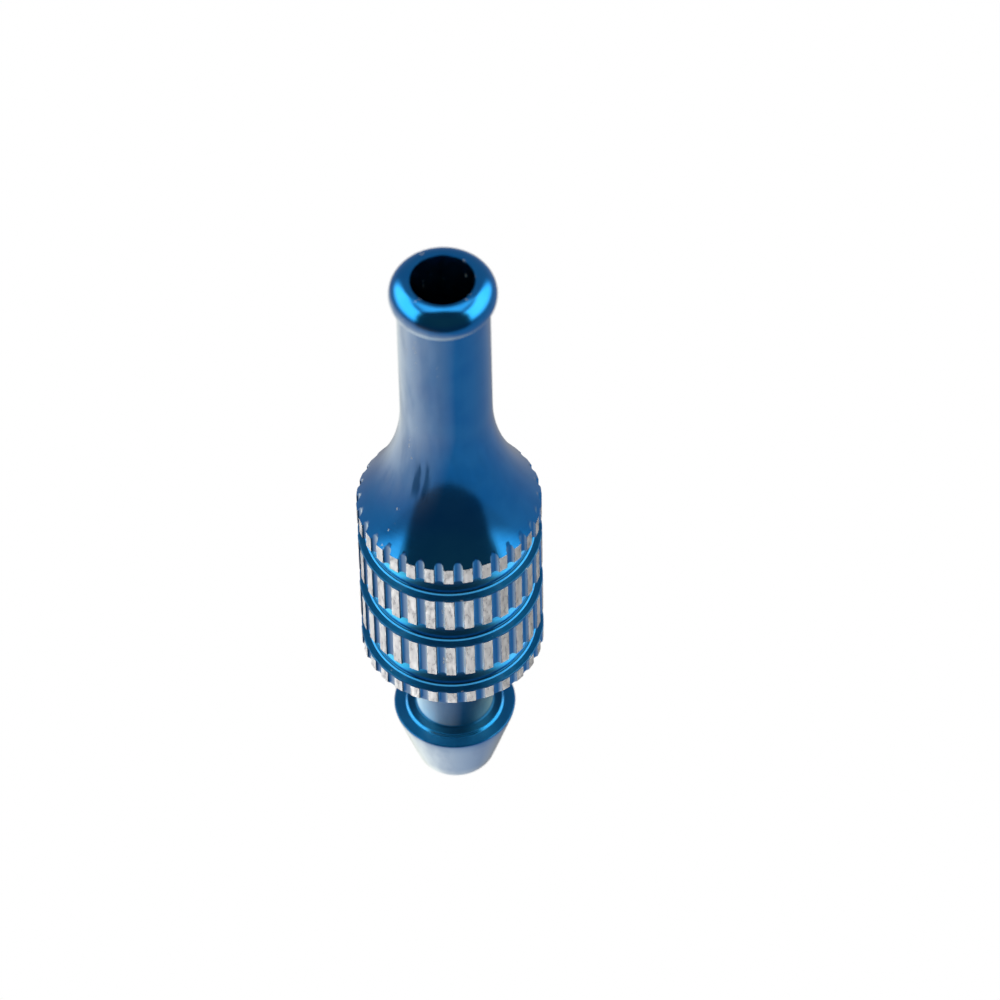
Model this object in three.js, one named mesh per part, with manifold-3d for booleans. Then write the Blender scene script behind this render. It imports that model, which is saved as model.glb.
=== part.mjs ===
// Inline hose filter. A turned, anodised barrel carries a beaded hose neck at its top, and a tail plug
// with a hose barb screws into its lower end. Inside, a spring holds a screen cartridge down on the plug.
// Liquid enters at the tail, passes outwards through the screens and leaves by the neck.
// Millimetres, +Z up: the origin is the centre of the tail tip's flat end, and the axis runs to the bead.
import * as THREE from 'three';
import { mergeGeometries, mergeVertices } from 'three/addons/utils/BufferGeometryUtils.js';
import Module from 'manifold-3d';

const TURN = 2 * Math.PI;

// ---- driving dimensions: the barrel ----
const BARREL_R = 6.0;               // crests of the flutes
const BARREL_BOTTOM = 12.0;
const BARREL_TOP = 26.3;            // where the shoulder leaves the crests
const EDGE_CHAMFER = 0.4;           // lower edge of the barrel
const GROOVE_R = 5.28;              // floor of the turned grooves
const GROOVES = [[13.6, 15.34], [18.4, 20.14], [23.16, 24.9]];
const FLUTE_COUNT = 30;
const FLUTE_R = 5.73;               // floor of the flutes
const FLUTE_SHARE = 0.48;           // part of the pitch that the flute takes
const RIM_HEIGHT = 0.14;            // the flutes stop this far below each groove
const NECK_R = 2.97;
const SHOULDER_END = 35.8;          // where the shoulder runs into the neck
const SHOULDER_SLOPE = 0.637;       // radius lost per millimetre at the crests
const BEAD_TUBE_R = 1.29;
const BEAD_RING_R = 2.15;
const BEAD_Z = 46.68;
const BORE_R = 2.06;

// ---- driving dimensions: the chamber and the thread ----
const CHAMBER_R = 4.0;
const CHAMBER_TOP = 26.2;
const MOUTH_R = 5.0;                // counterbore that holds the O-ring
const MOUTH_DEPTH = 1.15;
const THREAD_PITCH = 1.0;
const THREAD_WAVE = 0.27;           // half the thread's depth
const THREAD_MEAN_R = 4.08;         // of the plug's thread
const THREAD_CLEARANCE = 0.18;
const THREAD_LENGTH = 3.5;
const THREAD_ROOT_DEPTH = 0.5;      // the thread's solid reaches this far into the shank

// ---- driving dimensions: the tail plug ----
const TIP_R = 2.59;
const BARB_R = 4.04;
const BARB_EDGE_Z = 4.9;
const BARB_BACK_Z = 5.1;
const BARB_BACK_R = 3.3;            // the flat back face ends here, at a low step
const BARB_STEP = 0.17;             // the step's height and its run
const TAIL_NECK_R = 2.52;
const TAIL_NECK_FILLET = 0.2;
const TAIL_BORE_R = 1.6;
const COLLAR_R = 4.75;
const COLLAR_THICKNESS = 0.8;
const SHANK_R = 3.75;               // carries the O-ring
const PLUG_TOP = 16.9;
const SPANNER_HOLE_R = 0.45;
const SPANNER_HOLE_RING_R = 3.75;

// ---- driving dimensions: the seals, the cartridge and the spring ----
const SEAL_GAP = 0.03;              // left between pieces that press on each other
const O_RING_WIRE_R = 0.48;
const GASKET_THICKNESS = 0.5;
const GASKET_BORE_GAP = 0.1;        // the gasket's hole clears the tail bore
const CARTRIDGE_R = 3.3;            // brass collar and cap
const COLLAR_HEIGHT = 1.1;
const CAP_HEIGHT = 1.1;
const CARTRIDGE_LENGTH = 5.0;
const CORE_R = 2.2;
const CORE_WALL = 0.25;
const CORE_HOLE_R = 0.42;
const CORE_HOLE_COLUMNS = 6;
const CORE_HOLE_ROWS = 3;
const COARSE_SCREEN_R = 2.55;
const FINE_SCREEN_R = 2.85;
const SCREEN_WALL = 0.2;
const SCREEN_GAP = 0.1;             // around the core and the screens in their recesses
const SPIGOT_R = 1.5;
const SPIGOT_HEIGHT = 0.9;
const SPIGOT_CHAMFER = 0.3;
const SPRING_WIRE_R = 0.22;
const SPRING_R = 2.15;
const SPRING_TURNS = 2.5;           // live turns, between the closed ends
const SPRING_DEAD_TURNS = 0.9;      // each end's closed turn
const SPRING_DEAD_PITCH = 1.08;     // rise of a closed turn, in wire diameters
const WASHER_THICKNESS = 0.3;
const WASHER_R = 3.6;

// ---- fineness of round surfaces ----
const BARREL_SIDES = 60;
const PLUG_SIDES = 40;
const SMALL_SIDES = 30;
const HOLE_SIDES = 8;
const WIRE_SIDES = 8;
const SPRING_STEPS_PER_TURN = 14;
const SHOULDER_STEPS = 6;
const FILLET_STEPS = 3;
const BEAD_STEPS = 9;
const THREAD_SIDES = 30;
const THREAD_ROWS_PER_PITCH = 5;
const MERGE_DISTANCE = 1e-4;

// ---- places along the axis ----
const BEAD_TOP = BEAD_Z + BEAD_TUBE_R;
const MOUTH_TOP = BARREL_BOTTOM + MOUTH_DEPTH;
const PLUG_COLLAR_BOTTOM = BARREL_BOTTOM - COLLAR_THICKNESS - SEAL_GAP;
const PLUG_COLLAR_TOP = BARREL_BOTTOM - SEAL_GAP;
const GASKET_BOTTOM = PLUG_TOP + SEAL_GAP;
const CARTRIDGE_BOTTOM = GASKET_BOTTOM + GASKET_THICKNESS + SEAL_GAP;
const CARTRIDGE_TOP = CARTRIDGE_BOTTOM + CARTRIDGE_LENGTH;
const WASHER_TOP = CHAMBER_TOP - SEAL_GAP;
const WASHER_BOTTOM = WASHER_TOP - WASHER_THICKNESS;
const SPRING_BOTTOM = CARTRIDGE_TOP + SEAL_GAP;
const SPRING_TOP = WASHER_BOTTOM - SEAL_GAP;
const SCREEN_BOTTOM = CARTRIDGE_BOTTOM + COLLAR_HEIGHT / 2 + SCREEN_GAP;
const SCREEN_TOP = CARTRIDGE_TOP - CAP_HEIGHT / 2 - SCREEN_GAP;

const wasm = await Module();
wasm.setup();

// ---- solids ----

// A closed three.js geometry as a solid that can be cut and joined.
function solid(geometry) {
  const bare = geometry.index ? geometry.toNonIndexed() : geometry.clone();
  bare.deleteAttribute('normal');
  bare.deleteAttribute('uv');
  const merged = mergeVertices(bare, MERGE_DISTANCE);
  const vertProperties = merged.attributes.position.array;
  const triVerts = new Uint32Array(merged.index.array);
  return new wasm.Manifold(new wasm.Mesh({ numProp: 3, vertProperties, triVerts }));
}

// A solid as a three.js geometry.
function geometryOf(body) {
  const mesh = body.getMesh();
  const geometry = new THREE.BufferGeometry();
  geometry.setAttribute('position', new THREE.BufferAttribute(new Float32Array(mesh.vertProperties), 3));
  geometry.setIndex(new THREE.BufferAttribute(new Uint32Array(mesh.triVerts), 1));
  geometry.computeVertexNormals();
  return geometry;
}

// Points [r, z] turned about the axis. Outside surfaces run upwards, bores run downwards.
function turned(points, sides) {
  const profile = points.map(([r, z]) => new THREE.Vector2(r, z));
  return new THREE.LatheGeometry(profile, sides).rotateX(Math.PI / 2);
}

// A ring with a rectangular section.
function ring(innerR, outerR, bottom, top, sides) {
  const corners = [[innerR, bottom], [outerR, bottom], [outerR, top], [innerR, top], [innerR, bottom]];
  return turned(corners, sides);
}

// Points of an arc in the section plane. Angles run from the outward direction towards +Z.
function arcPoints(centreR, centreZ, radius, startAngle, endAngle, steps) {
  const arc = new THREE.EllipseCurve(
    centreR, centreZ, radius, radius, startAngle, endAngle, endAngle < startAngle);
  return arc.getPoints(steps).map((p) => [p.x, p.y]);
}

// A rod with a rounded right-hand thread. Its ridge passes the angle 0 at every whole pitch above z = 0.
function threadedRod(meanR, bottom, top) {
  const rows = Math.round((top - bottom) / THREAD_PITCH * THREAD_ROWS_PER_PITCH);
  const rod = new THREE.CylinderGeometry(1, 1, top - bottom, THREAD_SIDES, rows);
  rod.rotateX(Math.PI / 2).translate(0, 0, (top + bottom) / 2);
  const position = rod.attributes.position;
  for (let i = 0; i < position.count; i += 1) {
    const x = position.getX(i);
    const y = position.getY(i);
    const z = position.getZ(i);
    const phase = TURN * z / THREAD_PITCH - Math.atan2(y, x);
    const radius = meanR + THREAD_WAVE * Math.cos(phase);
    position.setXY(i, x * radius, y * radius);
  }
  return rod;
}

// Copies of one geometry, turned about the axis in equal steps.
function aroundAxis(geometry, count, firstAngle = 0) {
  const copies = [];
  for (let i = 0; i < count; i += 1) {
    copies.push(geometry.clone().rotateZ(firstAngle + i * TURN / count));
  }
  return mergeGeometries(copies);
}

// ---- the barrel ----

// Outside of the barrel from its lower face to the mouth of the bead.
function barrelOutside() {
  const points = [
    [BARREL_R - EDGE_CHAMFER, BARREL_BOTTOM],
    [BARREL_R, BARREL_BOTTOM + EDGE_CHAMFER],
  ];
  for (const [bottom, top] of GROOVES) {
    points.push([BARREL_R, bottom], [GROOVE_R, bottom], [GROOVE_R, top], [BARREL_R, top]);
  }
  const shoulder = new THREE.QuadraticBezierCurve(
    new THREE.Vector2(BARREL_R, BARREL_TOP),
    new THREE.Vector2(NECK_R, BARREL_TOP + (BARREL_R - NECK_R) / SHOULDER_SLOPE),
    new THREE.Vector2(NECK_R, SHOULDER_END));
  for (const p of shoulder.getPoints(SHOULDER_STEPS)) {
    points.push([p.x, p.y]);
  }
  const underBead = -Math.acos((NECK_R - BEAD_RING_R) / BEAD_TUBE_R);
  const mouth = Math.PI - Math.acos((BEAD_RING_R - BORE_R) / BEAD_TUBE_R);
  points.push(...arcPoints(BEAD_RING_R, BEAD_Z, BEAD_TUBE_R, underBead, mouth, BEAD_STEPS));
  return points;
}

function barrelBody() {
  const inside = [
    [BORE_R, CHAMBER_TOP],
    [CHAMBER_R, CHAMBER_TOP],
    [CHAMBER_R, MOUTH_TOP],
    [MOUTH_R, MOUTH_TOP],
    [MOUTH_R, BARREL_BOTTOM],
    [BARREL_R - EDGE_CHAMFER, BARREL_BOTTOM],
  ];
  const blank = solid(turned([...barrelOutside(), ...inside], BARREL_SIDES));

  const pitch = TURN / FLUTE_COUNT;
  const fluteWidth = 2 * FLUTE_R * Math.sin(FLUTE_SHARE * pitch / 2);
  const fluteTop = SHOULDER_END;
  const flute = new THREE.BoxGeometry(fluteWidth, BARREL_R, fluteTop);
  flute.translate(0, -FLUTE_R - BARREL_R / 2, fluteTop / 2);
  let flutes = solid(aroundAxis(flute, FLUTE_COUNT, pitch / 2));
  for (const [bottom] of GROOVES) {
    flutes = flutes.subtract(solid(ring(GROOVE_R, 2 * BARREL_R, bottom - RIM_HEIGHT, bottom, BARREL_SIDES)));
  }

  const threadBottom = MOUTH_TOP - THREAD_PITCH / 2;
  const threadTop = MOUTH_TOP + THREAD_LENGTH + THREAD_PITCH / 2;
  const thread = solid(threadedRod(THREAD_MEAN_R + THREAD_CLEARANCE, threadBottom, threadTop));
  return geometryOf(blank.subtract(flutes).subtract(thread));
}

// ---- the tail plug ----

function tailPlug() {
  const stepTop = BARB_BACK_Z + BARB_STEP;
  const fillet = new THREE.QuadraticBezierCurve(
    new THREE.Vector2(TAIL_NECK_R + TAIL_NECK_FILLET, stepTop),
    new THREE.Vector2(TAIL_NECK_R, stepTop),
    new THREE.Vector2(TAIL_NECK_R, stepTop + TAIL_NECK_FILLET));
  const outline = [
    [TIP_R, 0],
    [BARB_R, BARB_EDGE_Z],
    [BARB_R, BARB_BACK_Z],
    [BARB_BACK_R, BARB_BACK_Z],
    [BARB_BACK_R - BARB_STEP, stepTop],
    ...fillet.getPoints(FILLET_STEPS).map((p) => [p.x, p.y]),
    [TAIL_NECK_R, PLUG_COLLAR_BOTTOM],
    [COLLAR_R, PLUG_COLLAR_BOTTOM],
    [COLLAR_R, PLUG_COLLAR_TOP],
    [SHANK_R, PLUG_COLLAR_TOP],
    [SHANK_R, PLUG_TOP],
    [TAIL_BORE_R, PLUG_TOP],
    [TAIL_BORE_R, 0],
    [TIP_R, 0],
  ];
  const threadBottom = MOUTH_TOP + SEAL_GAP;
  const threaded = solid(threadedRod(THREAD_MEAN_R, threadBottom, threadBottom + THREAD_LENGTH));
  const rootR = SHANK_R - THREAD_ROOT_DEPTH;
  const threadBore = new THREE.CylinderGeometry(rootR, rootR, PLUG_TOP * 2, SMALL_SIDES);
  threadBore.rotateX(Math.PI / 2);
  const blank = solid(turned(outline, PLUG_SIDES)).add(threaded.subtract(solid(threadBore)));

  const holeLength = 2 * COLLAR_THICKNESS;
  const spannerHole = new THREE.CylinderGeometry(
    SPANNER_HOLE_R, SPANNER_HOLE_R, holeLength, 2 * HOLE_SIDES);
  spannerHole.rotateX(Math.PI / 2);
  spannerHole.translate(SPANNER_HOLE_RING_R, 0, PLUG_COLLAR_BOTTOM - COLLAR_THICKNESS / 2);
  return geometryOf(blank.subtract(solid(aroundAxis(spannerHole, 2))));
}

// ---- the seals ----

function plugORing() {
  const seatBottom = PLUG_COLLAR_TOP + SEAL_GAP;
  const ringR = (SHANK_R + MOUTH_R) / 2;
  const oRing = new THREE.TorusGeometry(ringR, O_RING_WIRE_R, WIRE_SIDES, PLUG_SIDES);
  return oRing.translate(0, 0, seatBottom + O_RING_WIRE_R);
}

function seatGasket() {
  const top = GASKET_BOTTOM + GASKET_THICKNESS;
  return ring(TAIL_BORE_R + GASKET_BORE_GAP, CARTRIDGE_R, GASKET_BOTTOM, top, SMALL_SIDES);
}

// ---- the cartridge ----

// Lower ring: the core and both screens stand in its stepped recess.
function cartridgeCollar() {
  const recessFloor = CARTRIDGE_BOTTOM + COLLAR_HEIGHT / 2;
  const collarTop = CARTRIDGE_BOTTOM + COLLAR_HEIGHT;
  const recessR = FINE_SCREEN_R + SCREEN_GAP;
  return turned([
    [TAIL_BORE_R, CARTRIDGE_BOTTOM],
    [CARTRIDGE_R, CARTRIDGE_BOTTOM],
    [CARTRIDGE_R, collarTop],
    [recessR, collarTop],
    [recessR, recessFloor],
    [TAIL_BORE_R, recessFloor],
    [TAIL_BORE_R, CARTRIDGE_BOTTOM],
  ], SMALL_SIDES);
}

// Upper cap: closed by a spigot that centres the spring.
function cartridgeCap() {
  const recessRoof = CARTRIDGE_TOP - CAP_HEIGHT / 2;
  const skirtBottom = CARTRIDGE_TOP - CAP_HEIGHT;
  const recessR = FINE_SCREEN_R + SCREEN_GAP;
  return turned([
    [0, recessRoof],
    [recessR, recessRoof],
    [recessR, skirtBottom],
    [CARTRIDGE_R, skirtBottom],
    [CARTRIDGE_R, CARTRIDGE_TOP],
    [SPIGOT_R, CARTRIDGE_TOP],
    [SPIGOT_R, CARTRIDGE_TOP + SPIGOT_HEIGHT - SPIGOT_CHAMFER],
    [SPIGOT_R - SPIGOT_CHAMFER, CARTRIDGE_TOP + SPIGOT_HEIGHT],
    [0, CARTRIDGE_TOP + SPIGOT_HEIGHT],
  ], SMALL_SIDES);
}

function cartridgeCore() {
  const tube = solid(ring(CORE_R - CORE_WALL, CORE_R, SCREEN_BOTTOM, SCREEN_TOP, SMALL_SIDES));
  const hole = new THREE.CylinderGeometry(CORE_HOLE_R, CORE_HOLE_R, 2 * CORE_R, HOLE_SIDES);
  hole.translate(0, CORE_R, 0);
  const rowStep = (CARTRIDGE_LENGTH - COLLAR_HEIGHT - CAP_HEIGHT) / CORE_HOLE_ROWS;
  const rows = [];
  for (let row = 0; row < CORE_HOLE_ROWS; row += 1) {
    const z = CARTRIDGE_BOTTOM + COLLAR_HEIGHT + (row + 0.5) * rowStep;
    const stagger = (row % 2) * Math.PI / CORE_HOLE_COLUMNS;
    rows.push(aroundAxis(hole, CORE_HOLE_COLUMNS, stagger).translate(0, 0, z));
  }
  return geometryOf(tube.subtract(solid(mergeGeometries(rows))));
}

function screen(outerR) {
  return ring(outerR - SCREEN_WALL, outerR, SCREEN_BOTTOM, SCREEN_TOP, SMALL_SIDES);
}

// ---- the spring ----

// Centre line of a compression spring with a closed turn at each end.
class SpringCurve extends THREE.Curve {
  getPoint(t, target = new THREE.Vector3()) {
    const turns = SPRING_TURNS + 2 * SPRING_DEAD_TURNS;
    const turn = t * turns;
    const low = SPRING_BOTTOM + SPRING_WIRE_R;
    const high = SPRING_TOP - SPRING_WIRE_R;
    const closedRise = SPRING_DEAD_PITCH * 2 * SPRING_WIRE_R * SPRING_DEAD_TURNS;
    const live = THREE.MathUtils.clamp(turn - SPRING_DEAD_TURNS, 0, SPRING_TURNS) / SPRING_TURNS;
    const lowerDead = Math.min(turn, SPRING_DEAD_TURNS);
    const upperDead = Math.max(turn - SPRING_DEAD_TURNS - SPRING_TURNS, 0);
    const dead = lowerDead + upperDead;
    const z = low + closedRise * dead / SPRING_DEAD_TURNS + live * (high - low - 2 * closedRise);
    return target.set(SPRING_R * Math.cos(turn * TURN), SPRING_R * Math.sin(turn * TURN), z);
  }
}

function cartridgeSpring() {
  const wire = new THREE.Shape().absarc(0, 0, SPRING_WIRE_R, 0, TURN, false);
  const steps = Math.round((SPRING_TURNS + 2 * SPRING_DEAD_TURNS) * SPRING_STEPS_PER_TURN);
  const settings = { steps, extrudePath: new SpringCurve(), curveSegments: WIRE_SIDES / 2 };
  return new THREE.ExtrudeGeometry(wire, settings);
}

function springWasher() {
  return ring(BORE_R, WASHER_R, WASHER_BOTTOM, WASHER_TOP, SMALL_SIDES);
}

// ---- the assembly ----

function finish(color, metalness, roughness) {
  return new THREE.MeshStandardMaterial({ color, metalness, roughness });
}

const anodised = finish(0x1a5f9e, 1.0, 0.28);
const brass = finish(0xb58a3c, 1.0, 0.35);
const steel = finish(0xb8bcc0, 1.0, 0.3);
const sealRubber = finish(0x18181a, 0.0, 0.6);
const gasketFibre = finish(0xb5452f, 0.0, 0.8);

const PIECES = [
  ['barrel_body', barrelBody, anodised],
  ['tail_plug', tailPlug, anodised],
  ['plug_o_ring', plugORing, sealRubber],
  ['seat_gasket', seatGasket, gasketFibre],
  ['cartridge_collar', cartridgeCollar, brass],
  ['cartridge_core', cartridgeCore, brass],
  ['coarse_screen', () => screen(COARSE_SCREEN_R), steel],
  ['fine_screen', () => screen(FINE_SCREEN_R), steel],
  ['cartridge_cap', cartridgeCap, brass],
  ['cartridge_spring', cartridgeSpring, steel],
  ['spring_washer', springWasher, steel],
];

const filter = new THREE.Group();
for (const [name, make, material] of PIECES) {
  const mesh = new THREE.Mesh(make(), material);
  mesh.name = name;
  filter.add(mesh);
}

export default filter;
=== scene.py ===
"""An inline hose filter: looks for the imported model, a white studio around it and the camera."""
import math

import bmesh
import bpy
import numpy as np
from mathutils import Matrix, Vector


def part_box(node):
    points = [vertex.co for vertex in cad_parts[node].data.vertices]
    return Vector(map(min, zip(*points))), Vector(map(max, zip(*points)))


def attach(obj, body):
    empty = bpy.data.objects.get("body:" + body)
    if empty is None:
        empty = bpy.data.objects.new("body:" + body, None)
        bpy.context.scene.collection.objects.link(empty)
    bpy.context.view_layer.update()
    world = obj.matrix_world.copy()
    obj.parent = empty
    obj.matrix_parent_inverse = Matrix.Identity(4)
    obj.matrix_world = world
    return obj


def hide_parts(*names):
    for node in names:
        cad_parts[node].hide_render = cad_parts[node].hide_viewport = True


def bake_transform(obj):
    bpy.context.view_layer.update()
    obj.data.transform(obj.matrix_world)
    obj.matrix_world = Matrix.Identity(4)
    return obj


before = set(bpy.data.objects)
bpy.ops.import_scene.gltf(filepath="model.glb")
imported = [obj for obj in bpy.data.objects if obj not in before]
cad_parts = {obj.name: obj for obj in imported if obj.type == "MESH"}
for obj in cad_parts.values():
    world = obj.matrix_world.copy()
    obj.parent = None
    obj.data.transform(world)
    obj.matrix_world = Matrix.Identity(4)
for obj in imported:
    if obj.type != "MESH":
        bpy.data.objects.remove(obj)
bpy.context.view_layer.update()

TURN = 2 * math.pi
MM = 0.001

# ---------------------------------------------------------------- the frame's own sizes

barrel_low, barrel_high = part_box("barrel_body")
plug_low, plug_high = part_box("tail_plug")
BARREL_R = (barrel_high.y - barrel_low.y) / 2
BARREL_BOTTOM = barrel_low.z
BEAD_TOP = barrel_high.z
PLUG_TOP = plug_high.z

# Barrel, in metres: the same outline as the CAD barrel.
EDGE_CHAMFER = 0.4 * MM
SHOULDER_Z = 26.3 * MM
GROOVE_R = 0.88 * BARREL_R
GROOVES = [(13.6 * MM, 15.34 * MM), (18.4 * MM, 20.14 * MM), (23.16 * MM, 24.9 * MM)]
RIM_R = BARREL_R - 0.03 * MM      # the flutes stop short of each band's top
RIM_HEIGHT = 0.14 * MM
RIM_STEP = 0.01 * MM
RIM_CHAMFER = 0.03 * MM
RIDGE_R = GROOVE_R + 0.2 * MM     # a fine ridge left by the grooving tool
RIDGE = 0.06 * MM
FLUTE_COUNT = 30
FLUTE_R = 0.955 * BARREL_R
FLUTE_SHARE = 0.48
FLUTE_SQUARENESS = 3.2            # 2 is a round flute, and a high number is a square one
CREST_ROUNDING = 0.02             # share of the pitch
CREST_DROP = 0.02 * MM
RUN_OUT = 0.9 * MM                # height of the flutes' ends on the shoulder
NECK_R = 0.495 * BARREL_R
SHOULDER_END = 35.8 * MM
BEAD_TUBE_R = 1.29 * MM
BEAD_RING_R = 2.15 * MM
BEAD_Z = BEAD_TOP - BEAD_TUBE_R
BEAD_FILLET = 0.12 * MM
BORE_R = 2.06 * MM
BORE_EDGE_R = BORE_R + 0.02 * MM
BORE_TOP = BEAD_TOP - 0.06 * MM
CHAMBER_R = 4.0 * MM
CHAMBER_TOP = 26.2 * MM
MOUTH_R = 5.0 * MM
MOUTH_TOP = BARREL_BOTTOM + 1.15 * MM
THREAD_PITCH = 1.0 * MM
THREAD_WAVE = 0.27 * MM
THREAD_MEAN_R = 4.08 * MM
THREAD_CLEARANCE = 0.18 * MM
THREAD_LENGTH = 3.5 * MM
THREAD_FADE = THREAD_PITCH / 2    # length of the thread's run-out at each end
BARREL_THREAD_BOTTOM = MOUTH_TOP + 0.02 * MM
PLUG_THREAD_BOTTOM = MOUTH_TOP + 0.03 * MM

# Tail plug.
TIP_R = 2.59 * MM
TIP_EDGE = ((-0.12 * MM, 0.0), (-0.03 * MM, 0.03 * MM), (0.02 * MM, 0.12 * MM))   # out from TIP_R, and up
BARB_R = 4.04 * MM
BARB_EDGE_Z = 4.9 * MM
BARB_BACK_Z = 5.1 * MM
BARB_BACK_R = 3.3 * MM
BARB_STEP = 0.17 * MM
STEP_TOP = BARB_BACK_Z + BARB_STEP
TAIL_NECK_R = 2.52 * MM
TAIL_NECK_FILLET = 0.2 * MM
TAIL_BORE_R = 1.6 * MM
TAIL_BORE_BOTTOM = 0.15 * MM
PLUG_CHAMFER = 0.1 * MM
COLLAR_R = (plug_high.y - plug_low.y) / 2
COLLAR_TOP = BARREL_BOTTOM - 0.03 * MM
COLLAR_BOTTOM = COLLAR_TOP - 0.8 * MM
SHANK_R = 3.75 * MM
SPANNER_HOLE_R = 0.45 * MM
SPANNER_HOLE_RING_R = 3.75 * MM
SPANNER_HOLE_DEPTH = 0.4 * MM

# Cartridge, spring and seals. Each piece's height comes from the frame.
CARTRIDGE_R = 3.3 * MM
CORE_R = 2.2 * MM
CORE_WALL = 0.25 * MM
CORE_CORNER = 0.03 * MM
CORE_HOLE_R = 0.42 * MM
CORE_HOLE_COLUMNS = 6
CORE_HOLE_ROWS = 3
COARSE_SCREEN_R = 2.55 * MM
FINE_SCREEN_R = 2.85 * MM
SCREEN_WALL = 0.2 * MM
SCREEN_WIRE_R = 0.24 * SCREEN_WALL
RECESS_R = 2.95 * MM
RECESS_DEPTH = 0.55 * MM
SPIGOT_R = 1.5 * MM
SPIGOT_HEIGHT = 0.9 * MM
SPIGOT_CHAMFER = 0.3 * MM
SPRING_WIRE_R = 0.22 * MM
SPRING_R = 2.15 * MM
SPRING_TURNS = 2.5
SPRING_DEAD_TURNS = 0.9
SPRING_DEAD_PITCH = 2.16 * SPRING_WIRE_R   # the end turns almost touch
SPRING_GROUND = 0.35 * SPRING_WIRE_R       # from the wire's middle to the ground face at each end
O_RING_R = 4.375 * MM
O_RING_WIRE_R = 0.48 * MM
O_RING_FLASH = 0.012 * MM         # height of the mould's line
O_RING_FLASH_WIDTH = 0.07         # radians round the ring's section
GASKET_INNER_R = TAIL_BORE_R + 0.1 * MM
GASKET_WAVE = 0.02 * MM           # how far the punched edges wander

CORNER = 0.05 * MM                # broken edges
THIN_CORNER = 0.04 * MM           # the same on the thin rings
FILLET = 0.1 * MM                 # corners left by the turning tool


# ---------------------------------------------------------------- node helpers

def put(tree, kind, inputs=None, **settings):
    """Adds a shader node. A value that is a socket is linked, any other is set."""
    node = tree.nodes.new(kind)
    for name, value in settings.items():
        setattr(node, name, value)
    for key, value in (inputs or {}).items():
        if isinstance(value, bpy.types.NodeSocket):
            tree.links.new(value, node.inputs[key])
        else:
            node.inputs[key].default_value = value
    return node


def math_node(tree, operation, a, b=0.0):
    return put(tree, "ShaderNodeMath", {0: a, 1: b}, operation=operation).outputs[0]


def product(tree, first, *others):
    """Multiplies any number of values."""
    for other in others:
        first = math_node(tree, "MULTIPLY", first, other)
    return first


def apart(tree, a, b):
    return math_node(tree, "ABSOLUTE", math_node(tree, "SUBTRACT", a, b))


def length_2d(tree, x, y):
    squares = math_node(tree, "ADD", product(tree, x, x), product(tree, y, y))
    return math_node(tree, "SQRT", squares)


def dot(tree, a, b):
    return put(tree, "ShaderNodeVectorMath", {0: a, 1: b}, operation="DOT_PRODUCT").outputs["Value"]


def scaled(tree, vector, factor):
    return put(tree, "ShaderNodeVectorMath", {0: vector, 3: factor}, operation="SCALE").outputs[0]


def stretched(tree, vector, scale):
    """The vector times a scale for each axis. A low scale draws a noise out along that axis."""
    return put(tree, "ShaderNodeMapping", {"Vector": vector, "Scale": scale}).outputs[0]


def axes(tree, vector):
    """The x, y and z of a vector."""
    return tuple(put(tree, "ShaderNodeSeparateXYZ", {0: vector}).outputs)


def ramp(tree, value, start, end, low=0.0, high=1.0, kind="SMOOTHSTEP"):
    """Maps value from start..end to low..high, held at both ends."""
    sockets = {"Value": value, "From Min": start, "From Max": end, "To Min": low, "To Max": high}
    return put(tree, "ShaderNodeMapRange", sockets, interpolation_type=kind).outputs["Result"]


def mix_value(tree, factor, a, b):
    return put(tree, "ShaderNodeMix", {0: factor, 2: a, 3: b}).outputs[0]


def mix_color(tree, factor, a, b):
    """From a at 0 to b at 1. A factor above 1 goes on past b."""
    sockets = {0: factor, 6: a, 7: b}
    return put(tree, "ShaderNodeMix", sockets, data_type="RGBA", clamp_factor=False).outputs[2]


def mix_shader(tree, factor, a, b):
    return put(tree, "ShaderNodeMixShader", {0: factor, 1: a, 2: b}).outputs[0]


def add_shader(tree, a, b):
    return put(tree, "ShaderNodeAddShader", {0: a, 1: b}).outputs[0]


def emission(tree, color, strength):
    return put(tree, "ShaderNodeEmission", {"Color": color, "Strength": strength}).outputs[0]


def noise(tree, vector, scale, detail=2.0, roughness=0.5):
    """Noise from 0 to 1. The scale is in cells for each metre."""
    sockets = {"Vector": vector, "Scale": scale, "Detail": detail, "Roughness": roughness}
    return put(tree, "ShaderNodeTexNoise", sockets).outputs["Fac"]


def bump(tree, height, distance):
    inputs = {"Height": height, "Distance": distance, "Strength": 1.0}
    return put(tree, "ShaderNodeBump", inputs).outputs["Normal"]


def new_material(name):
    material = bpy.data.materials.new(name)
    material.use_nodes = True
    material.node_tree.nodes.clear()
    return material, material.node_tree


def output(tree, shader):
    put(tree, "ShaderNodeOutputMaterial", {"Surface": shader})


def turned_coordinates(tree):
    """Object position, and a vector of radius and height, which makes rings out of any noise."""
    position = put(tree, "ShaderNodeTexCoord").outputs["Object"]
    x, y, z = axes(tree, position)
    wander = product(tree, math_node(tree, "ARCTAN2", x, y), RING_WANDER)
    rings = put(tree, "ShaderNodeCombineXYZ", {0: length_2d(tree, x, y), 1: z, 2: wander}).outputs[0]
    return position, rings


# ---------------------------------------------------------------- materials

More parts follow.
